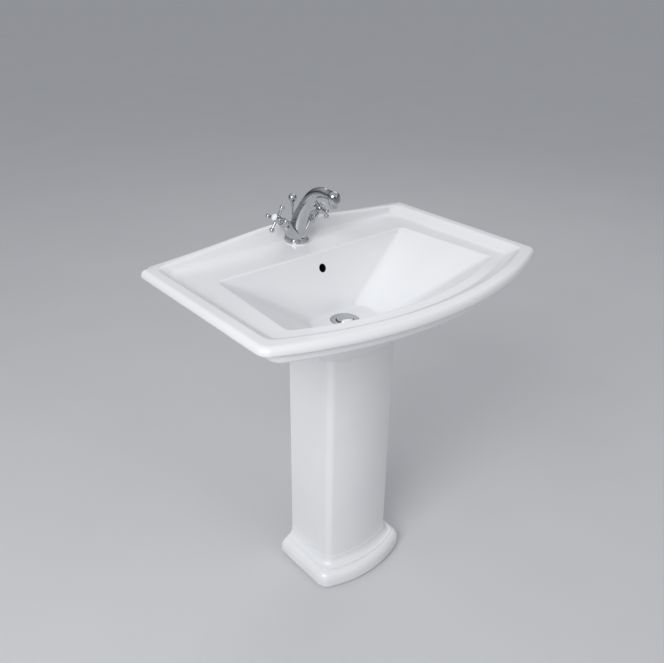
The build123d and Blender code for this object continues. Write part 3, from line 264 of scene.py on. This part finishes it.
def pattern_glaze(material, place):
    """The tint, the roughness and the rippled normal of the glaze."""
    roughness_low = 0.32
    roughness_high = 0.42
    speck_height = 0.02  # against a ripple of one
    drift = add_node(
        material, "ShaderNodeTexNoise",
        {"Scale": per_metre(glaze_drift_mm), "Detail": 3.0},
        {"Vector": place},
    )
    tint = add_node(material, "ShaderNodeValToRGB", {}, {"Fac": drift.outputs["Fac"]})
    tint.color_ramp.elements[0].position = 0.35
    tint.color_ramp.elements[0].color = linear("#EDEEF0")
    tint.color_ramp.elements[1].position = 0.65
    tint.color_ramp.elements[1].color = linear("#F1F1F2")
    gloss = add_node(
        material, "ShaderNodeMapRange",
        {"To Min": roughness_low, "To Max": roughness_high},
        {"Value": drift.outputs["Fac"]},
    )
    specks = add_node(
        material, "ShaderNodeTexVoronoi", {"Scale": per_metre(glaze_speck_mm)}, {"Vector": place}
    )
    ripple = add_node(
        material, "ShaderNodeTexNoise",
        {"Scale": per_metre(glaze_ripple_mm), "Detail": 1.0},
        {"Vector": place},
    )
    relief = add_node(
        material, "ShaderNodeMath",
        {"operation": "MULTIPLY_ADD", 1: speck_height},
        {0: specks.outputs["Distance"], 2: ripple.outputs["Fac"]},
    )
    peel = add_node(
        material, "ShaderNodeBump",
        {"Strength": 0.015, "Distance": metres(1.0)},
        {"Height": relief.outputs[0]},
    )
    return tint.outputs["Color"], gloss.outputs["Result"], peel.outputs["Normal"]


print("ripple", glaze_ripple_mm, "mm, drift", glaze_drift_mm, "mm, specks", glaze_speck_mm, "mm")

# %% [markdown]
# ## Glazed vitreous china
#
# The ware is cast in clay slip, fired, and dipped in a white glaze that is a thin layer of glass. A plain
# glossy white would look like plastic. Glass gives the eye a clear reflection over a soft white body, so
# the shader has a thin coat over a rougher base. Where the glaze ends, the masks change the colour to
# clay, or to near-black painted shade inside the overflow, and take the coat and the shine away.

# %% Make the china
def make_china():
    """White glaze with a coat, bare clay at wall and floor, and near-black painted shade in the overflow.
    """
    glass_ior = 1.52
    coat_weight = 0.35
    glaze_specular = 0.5
    clay_specular = 0.05
    clay_roughness = 0.75
    material, shader, place = new_material("glazed_vitreous_china")
    set_shader(shader, IOR=glass_ior, Coat_Roughness=0.08, Coat_IOR=glass_ior)
    tint, gloss, peel = pattern_glaze(material, place)
    axes = add_node(material, "ShaderNodeSeparateXYZ", {}, {"Vector": place})
    bare = mask_bare_clay(material, axes)
    overflow_shade = mask_overflow(material, place, axes)
    clay = add_node(
        material, "ShaderNodeMix",
        {"data_type": "RGBA", second_colour: linear("#D9D1C2")},
        {mix_share: bare, first_colour: tint},
    )
    # the near-black colour here is painted shade for the dark inside of the overflow hole
    colour = add_node(
        material, "ShaderNodeMix",
        {"data_type": "RGBA", second_colour: linear("#0E0D0D")},
        {mix_share: overflow_shade, first_colour: clay.outputs[mixed_colour]},
    )
    unglazed = add_node(
        material, "ShaderNodeMath", {"operation": "MAXIMUM"}, {0: bare, 1: overflow_shade}
    ).outputs[0]
    roughness = add_node(
        material, "ShaderNodeMix",
        {"data_type": "FLOAT", second_number: clay_roughness},
        {mix_share: unglazed, first_number: gloss},
    )
    coat = add_node(
        material, "ShaderNodeMapRange", {"To Min": coat_weight, "To Max": 0.0}, {"Value": unglazed}
    )
    shine = add_node(
        material, "ShaderNodeMapRange",
        {"To Min": glaze_specular, "To Max": clay_specular},
        {"Value": unglazed},
    )
    links = material.node_tree.links
    links.new(colour.outputs[mixed_colour], shader.inputs["Base Color"])
    links.new(coat.outputs["Result"], shader.inputs["Coat Weight"])
    links.new(shine.outputs["Result"], shader.inputs["Specular IOR Level"])
    links.new(roughness.outputs[mixed_number], shader.inputs["Roughness"])
    links.new(peel, shader.inputs["Normal"])
    return material


china = make_china()
print("made", china.name)

# %% [markdown]
# ## Polished chrome plate
#
# The tap is cast brass, polished and plated with nickel and a very thin layer of chromium. Chromium
# reflects a little over half the light and is faintly blue, so it looks darker than silver. A perfect
# mirror would look drawn, because real polish isn't perfect: wiping leaves soft patches. So a noise
# changes the roughness slowly.

# %% Make the chrome
def make_chrome():
    """Chrome plate with soft wiped patches."""
    wipe_mm = 14.0
    roughness_low = 0.06
    roughness_high = 0.16
    material, shader, place = new_material("polished_chrome_plate")
    set_shader(shader, Metallic=1.0)
    wipe = add_node(
        material, "ShaderNodeTexNoise",
        {"Scale": per_metre(wipe_mm), "Detail": 4.0},
        {"Vector": place},
    )
    tint = add_node(material, "ShaderNodeValToRGB", {}, {"Fac": wipe.outputs["Fac"]})
    tint.color_ramp.elements[0].color = linear("#B9BBBE")
    tint.color_ramp.elements[1].color = linear("#C6C8CA")
    haze = add_node(
        material, "ShaderNodeMapRange",
        {"To Min": roughness_low, "To Max": roughness_high},
        {"Value": wipe.outputs["Fac"]},
    )
    links = material.node_tree.links
    links.new(tint.outputs["Color"], shader.inputs["Base Color"])
    links.new(haze.outputs["Result"], shader.inputs["Roughness"])
    return material


chrome = make_chrome()
print("made", chrome.name)

# %% [markdown]
# ## The hidden metals
#
# Bare brass is turned on a lathe and dulls with handling. Steel is drawn or pressed and plated with zinc,
# which has a fine grey bloom. The inlet tails are drawn copper. Each metal could have a network of its
# own, but they differ only in colour, polish and the size of their marks. So one function makes all
# three: it starts from the metal's own colour and adds a fine bump for tool marks and slow patches where
# the metal has dulled. Real tool marks are finer, and these are as coarse as they need to be to show.

# %% Make brass, steel and copper
def make_metal(name, bright, dull, smooth, rough, patch_mm, mark_mm):
    """A bare metal between its bright and its dulled state, with fine tool marks."""
    mark_depth_mm = 0.4
    material, shader, place = new_material(name)
    set_shader(shader, Metallic=1.0)
    patch = add_node(
        material, "ShaderNodeTexNoise",
        {"Scale": per_metre(patch_mm), "Detail": 5.0},
        {"Vector": place},
    )
    tint = add_node(material, "ShaderNodeValToRGB", {}, {"Fac": patch.outputs["Fac"]})
    tint.color_ramp.elements[0].position = 0.3
    tint.color_ramp.elements[0].color = linear(bright)
    tint.color_ramp.elements[1].position = 0.75
    tint.color_ramp.elements[1].color = linear(dull)
    haze = add_node(
        material, "ShaderNodeMapRange",
        {"To Min": smooth, "To Max": rough},
        {"Value": patch.outputs["Fac"]},
    )
    marks = add_node(
        material, "ShaderNodeTexNoise",
        {"Scale": per_metre(mark_mm), "Detail": 2.0},
        {"Vector": place},
    )
    bump = add_node(
        material, "ShaderNodeBump",
        {"Strength": 0.15, "Distance": metres(mark_depth_mm)},
        {"Height": marks.outputs["Fac"]},
    )
    links = material.node_tree.links
    links.new(tint.outputs["Color"], shader.inputs["Base Color"])
    links.new(haze.outputs["Result"], shader.inputs["Roughness"])
    links.new(bump.outputs["Normal"], shader.inputs["Normal"])
    return material


brass = make_metal(
    "turned_brass", bright="#D8B56A", dull="#A88543", smooth=0.22, rough=0.42, patch_mm=12.0, mark_mm=1.2
)
steel = make_metal(
    "zinc_plated_steel", bright="#C3C6C8", dull="#989CA0", smooth=0.28, rough=0.5, patch_mm=9.0, mark_mm=0.8
)
copper = make_metal(
    "drawn_copper", bright="#D08A62", dull="#9C5E3F", smooth=0.2, rough=0.4, patch_mm=15.0, mark_mm=1.5
)
print("made", brass.name, steel.name, copper.name)

# %% [markdown]
# ## Rubber, plastic and valve ceramic
#
# The seals are moulded nitrile rubber, nearly black and matte. The trap and the nozzle's insert are
# moulded polypropylene, a milky white plastic with a fine spark-eroded grain from its mould. The valve
# discs are alumina, lapped so flat that two of them seal against each other. All three are plain bodies
# with a faint grain, so one function makes them and only their colours and sizes change. Real grain is
# finer, and this is as coarse as it needs to be to show.

# %% Make the soft and moulded finishes
def make_moulded(name, light, dark, smooth, rough, blotch_mm, grain_mm, grain_depth_mm, ior):
    """A plain body with slow blotches and a fine grain."""
    material, shader, place = new_material(name)
    set_shader(shader, IOR=ior)
    blotch = add_node(
        material, "ShaderNodeTexNoise",
        {"Scale": per_metre(blotch_mm), "Detail": 4.0},
        {"Vector": place},
    )
    tint = add_node(material, "ShaderNodeValToRGB", {}, {"Fac": blotch.outputs["Fac"]})
    tint.color_ramp.elements[0].position = 0.3
    tint.color_ramp.elements[0].color = linear(dark)
    tint.color_ramp.elements[1].position = 0.7
    tint.color_ramp.elements[1].color = linear(light)
    sheen = add_node(
        material, "ShaderNodeMapRange",
        {"To Min": smooth, "To Max": rough},
        {"Value": blotch.outputs["Fac"]},
    )
    grain = add_node(
        material, "ShaderNodeTexNoise",
        {"Scale": per_metre(grain_mm), "Detail": 3.0},
        {"Vector": place},
    )
    bump = add_node(
        material, "ShaderNodeBump",
        {"Strength": 0.3, "Distance": metres(grain_depth_mm)},
        {"Height": grain.outputs["Fac"]},
    )
    links = material.node_tree.links
    links.new(tint.outputs["Color"], shader.inputs["Base Color"])
    links.new(sheen.outputs["Result"], shader.inputs["Roughness"])
    links.new(bump.outputs["Normal"], shader.inputs["Normal"])
    return material


rubber = make_moulded(
    "moulded_nitrile_rubber", light="#2B2B2C", dark="#1D1D1E", smooth=0.55, rough=0.75,
    blotch_mm=10.0, grain_mm=0.6, grain_depth_mm=0.3, ior=1.52,
)
plastic = make_moulded(
    "moulded_polypropylene", light="#EBEBE8", dark="#E2E2DE", smooth=0.34, rough=0.46,
    blotch_mm=30.0, grain_mm=0.8, grain_depth_mm=0.3, ior=1.49,
)
alumina = make_moulded(
    "lapped_alumina", light="#EEEBE2", dark="#E4E0D6", smooth=0.18, rough=0.26,
    blotch_mm=8.0, grain_mm=0.4, grain_depth_mm=0.1, ior=1.76,
)
print("made", rubber.name, plastic.name, alumina.name)

# %% [markdown]
# ## Flats that stay flat
#
# The pedestal and the rim have wide flats that run into rounded edges. Plain smooth shading would bend
# the light on a flat all the way across it. So the faces of each large flat are marked, and a modifier
# lets them set the normals at the flat's border. Faces belong to one flat if they lie in one plane, and
# a flat is large if it has more than a small share of the solid's whole area.

# %% Mark the large flats
large_flat_share = 0.003
direction_digits = 3
distance_digits = 4
face_strength = "__mod_weightednormals_faceweight"  # the name that the modifier looks for


def lead_by_flats(mesh):
    """Let the faces of each large flat set the shading at its border."""
    planes = []
    areas = {}
    for face in mesh.polygons:
        direction = (round(value, direction_digits) for value in face.normal)
        distance = round(face.normal.dot(face.center), distance_digits)
        plane = (*direction, distance)
        planes.append(plane)
        areas[plane] = areas.get(plane, 0.0) + face.area
    large = large_flat_share * sum(areas.values())
    strength = mesh.attributes.new(face_strength, "INT", "FACE")
    strength.data.foreach_set("value", [int(areas[plane] > large) for plane in planes])


print("large flats have over", large_flat_share, "of a solid's area")

# %% [markdown]
# ## Dressing the solids
#
# The record says which finish each solid has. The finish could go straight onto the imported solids, but
# their facets are fine and flat, and a glossy glaze would show every one. So each solid is shown by a
# copy with smooth shading. Points that lie on each other are welded first. Faces that meet at a small
# angle then share their normals, led by the large flats, and sharper edges stay crisp.

# %% Give every solid its finish
finishes = {
    "vitreous_china": china,
    "chrome": chrome,
    "brass": brass,
    "steel": steel,
    "copper_tail": copper,
    "rubber": rubber,
    "white_plastic": plastic,
    "disc_ceramic": alumina,
}
node_slot = {entry["node"]: entry["material_slot"] for entry in record["subparts"]}
node_body = {
    node: body
    for body, members in record["behaviour"]["bodies"].items()
    for node in members
}
crease_angle = math.radians(30.0)
weld_mm = 0.002


def smooth_copy(node):
    """A copy of one solid with smooth shading, which moves with the solid's body."""
    mesh = nodes[node].data.copy()
    mesh.name = node + "_smooth"
    mesh.materials.clear()
    mesh.materials.append(finishes[node_slot[node]])
    shape = bmesh.new()
    shape.from_mesh(mesh)
    bmesh.ops.remove_doubles(shape, verts=shape.verts, dist=metres(weld_mm))
    shape.to_mesh(mesh)
    shape.free()
    if "custom_normal" in mesh.attributes:
        mesh.attributes.remove(mesh.attributes["custom_normal"])
    mesh.shade_smooth()
    mesh.set_sharp_from_angle(angle=crease_angle)
    lead_by_flats(mesh)
    piece = bpy.data.objects.new(node + "_smooth", mesh)
    bpy.context.scene.collection.objects.link(piece)
    weighting = piece.modifiers.new("large_flats_lead", "WEIGHTED_NORMAL")
    weighting.mode = "CORNER_ANGLE"
    weighting.use_face_influence = True
    weighting.keep_sharp = True
    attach(piece, node_body[node])
    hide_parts(node)
    return piece


pieces = {node: smooth_copy(node) for node in nodes}
print("dressed", len(pieces), "solids")

# %% [markdown]
# ## The floor
#
# The basin needs ground to stand on and to throw a shadow on. A curved backdrop would do it, but one wide
# pale floor that runs out past the view is simpler, and it is the whole background. It is matte paint
# with a faint mottle, so that it isn't one dead tone.

# %% Lay the floor
def make_floor_finish():
    """Matte floor paint with a faint mottle."""
    mottle_mm = 400.0
    material, shader, place = new_material("pale_floor_paint")
    set_shader(shader, IOR=1.45, Roughness=0.7)
    mottle = add_node(
        material, "ShaderNodeTexNoise",
        {"Scale": per_metre(mottle_mm), "Detail": 4.0},
        {"Vector": place},
    )
    tint = add_node(material, "ShaderNodeValToRGB", {}, {"Fac": mottle.outputs["Fac"]})
    tint.color_ramp.elements[0].color = linear("#CDCED0")
    tint.color_ramp.elements[1].color = linear("#D3D4D6")
    material.node_tree.links.new(tint.outputs["Color"], shader.inputs["Base Color"])
    return material


floor_half = 60.0
floor_mesh = bpy.data.meshes.new("floor")
floor_corners = [(x * floor_half, y * floor_half, 0.0) for x, y in ((-1, -1), (1, -1), (1, 1), (-1, 1))]
floor_mesh.from_pydata(floor_corners, [], [(0, 1, 2, 3)])
floor_mesh.materials.append(make_floor_finish())
floor = bpy.data.objects.new("floor", floor_mesh)
bpy.context.scene.collection.objects.link(floor)
print("floor", floor_half * 2, "m wide")

# %% [markdown]
# ## The lamps
#
# In the photograph the left side of the pedestal is the brighter one, and its shading is soft. A sun
# would give hard shadows, so the lamps are wide squares. The key hangs high on the left in front of the
# basin. A weak lamp at the back on the right lifts the slopes that face away from it, and a small one in
# front lifts the lip.

# %% Hang the lamps
def hang_lamp(name, place, target, size, power):
    """A square soft lamp at a place, aimed at a target, in metres and watts."""
    data = bpy.data.lights.new(name, "AREA")
    data.shape = "SQUARE"
    data.size = size
    data.energy = power
    lamp = bpy.data.objects.new(name, data)
    lamp.location = place
    lamp.rotation_euler = (Vector(target) - Vector(place)).to_track_quat("-Z", "Y").to_euler()
    bpy.context.scene.collection.objects.link(lamp)


basin_middle = (0.0, 0.0, 0.7)
hang_lamp("key_lamp", place=(-2.7, -1.1, 2.5), target=basin_middle, size=2.0, power=74.0)
hang_lamp("fill_lamp", place=(2.2, 1.5, 2.9), target=basin_middle, size=2.0, power=12.0)
hang_lamp("front_lamp", place=(0.6, -3.2, 1.9), target=basin_middle, size=1.2, power=7.0)

# %% [markdown]
# ## The studio
#
# Chrome has no colour of its own to show and needs something to reflect. An even grey world would make
# it look like grey paint. This world is a studio that is bright overhead and dark towards the horizon:
# it fills the shadows, and gives the chrome the dark and light bands that make it read as metal.

# %% Light the studio
horizon_rise = 0.12
overhead_rise = 0.7

world = bpy.data.worlds.new("studio")
world.use_nodes = True
background = world.node_tree.nodes["Background"]
direction = add_node(world, "ShaderNodeTexCoord").outputs["Generated"]
rise = add_node(world, "ShaderNodeSeparateXYZ", {}, {"Vector": direction})
sky = add_node(world, "ShaderNodeValToRGB", {}, {"Fac": rise.outputs["Z"]})
sky.color_ramp.elements[0].position = horizon_rise
sky.color_ramp.elements[0].color = linear("#4A4B4D")
sky.color_ramp.elements[1].position = overhead_rise
sky.color_ramp.elements[1].color = linear("#C0C2C6")
world.node_tree.links.new(sky.outputs["Color"], background.inputs["Color"])
background.inputs["Strength"].default_value = 1.0
bpy.context.scene.world = world
print("world", world.name, "darkest below a rise of", horizon_rise)
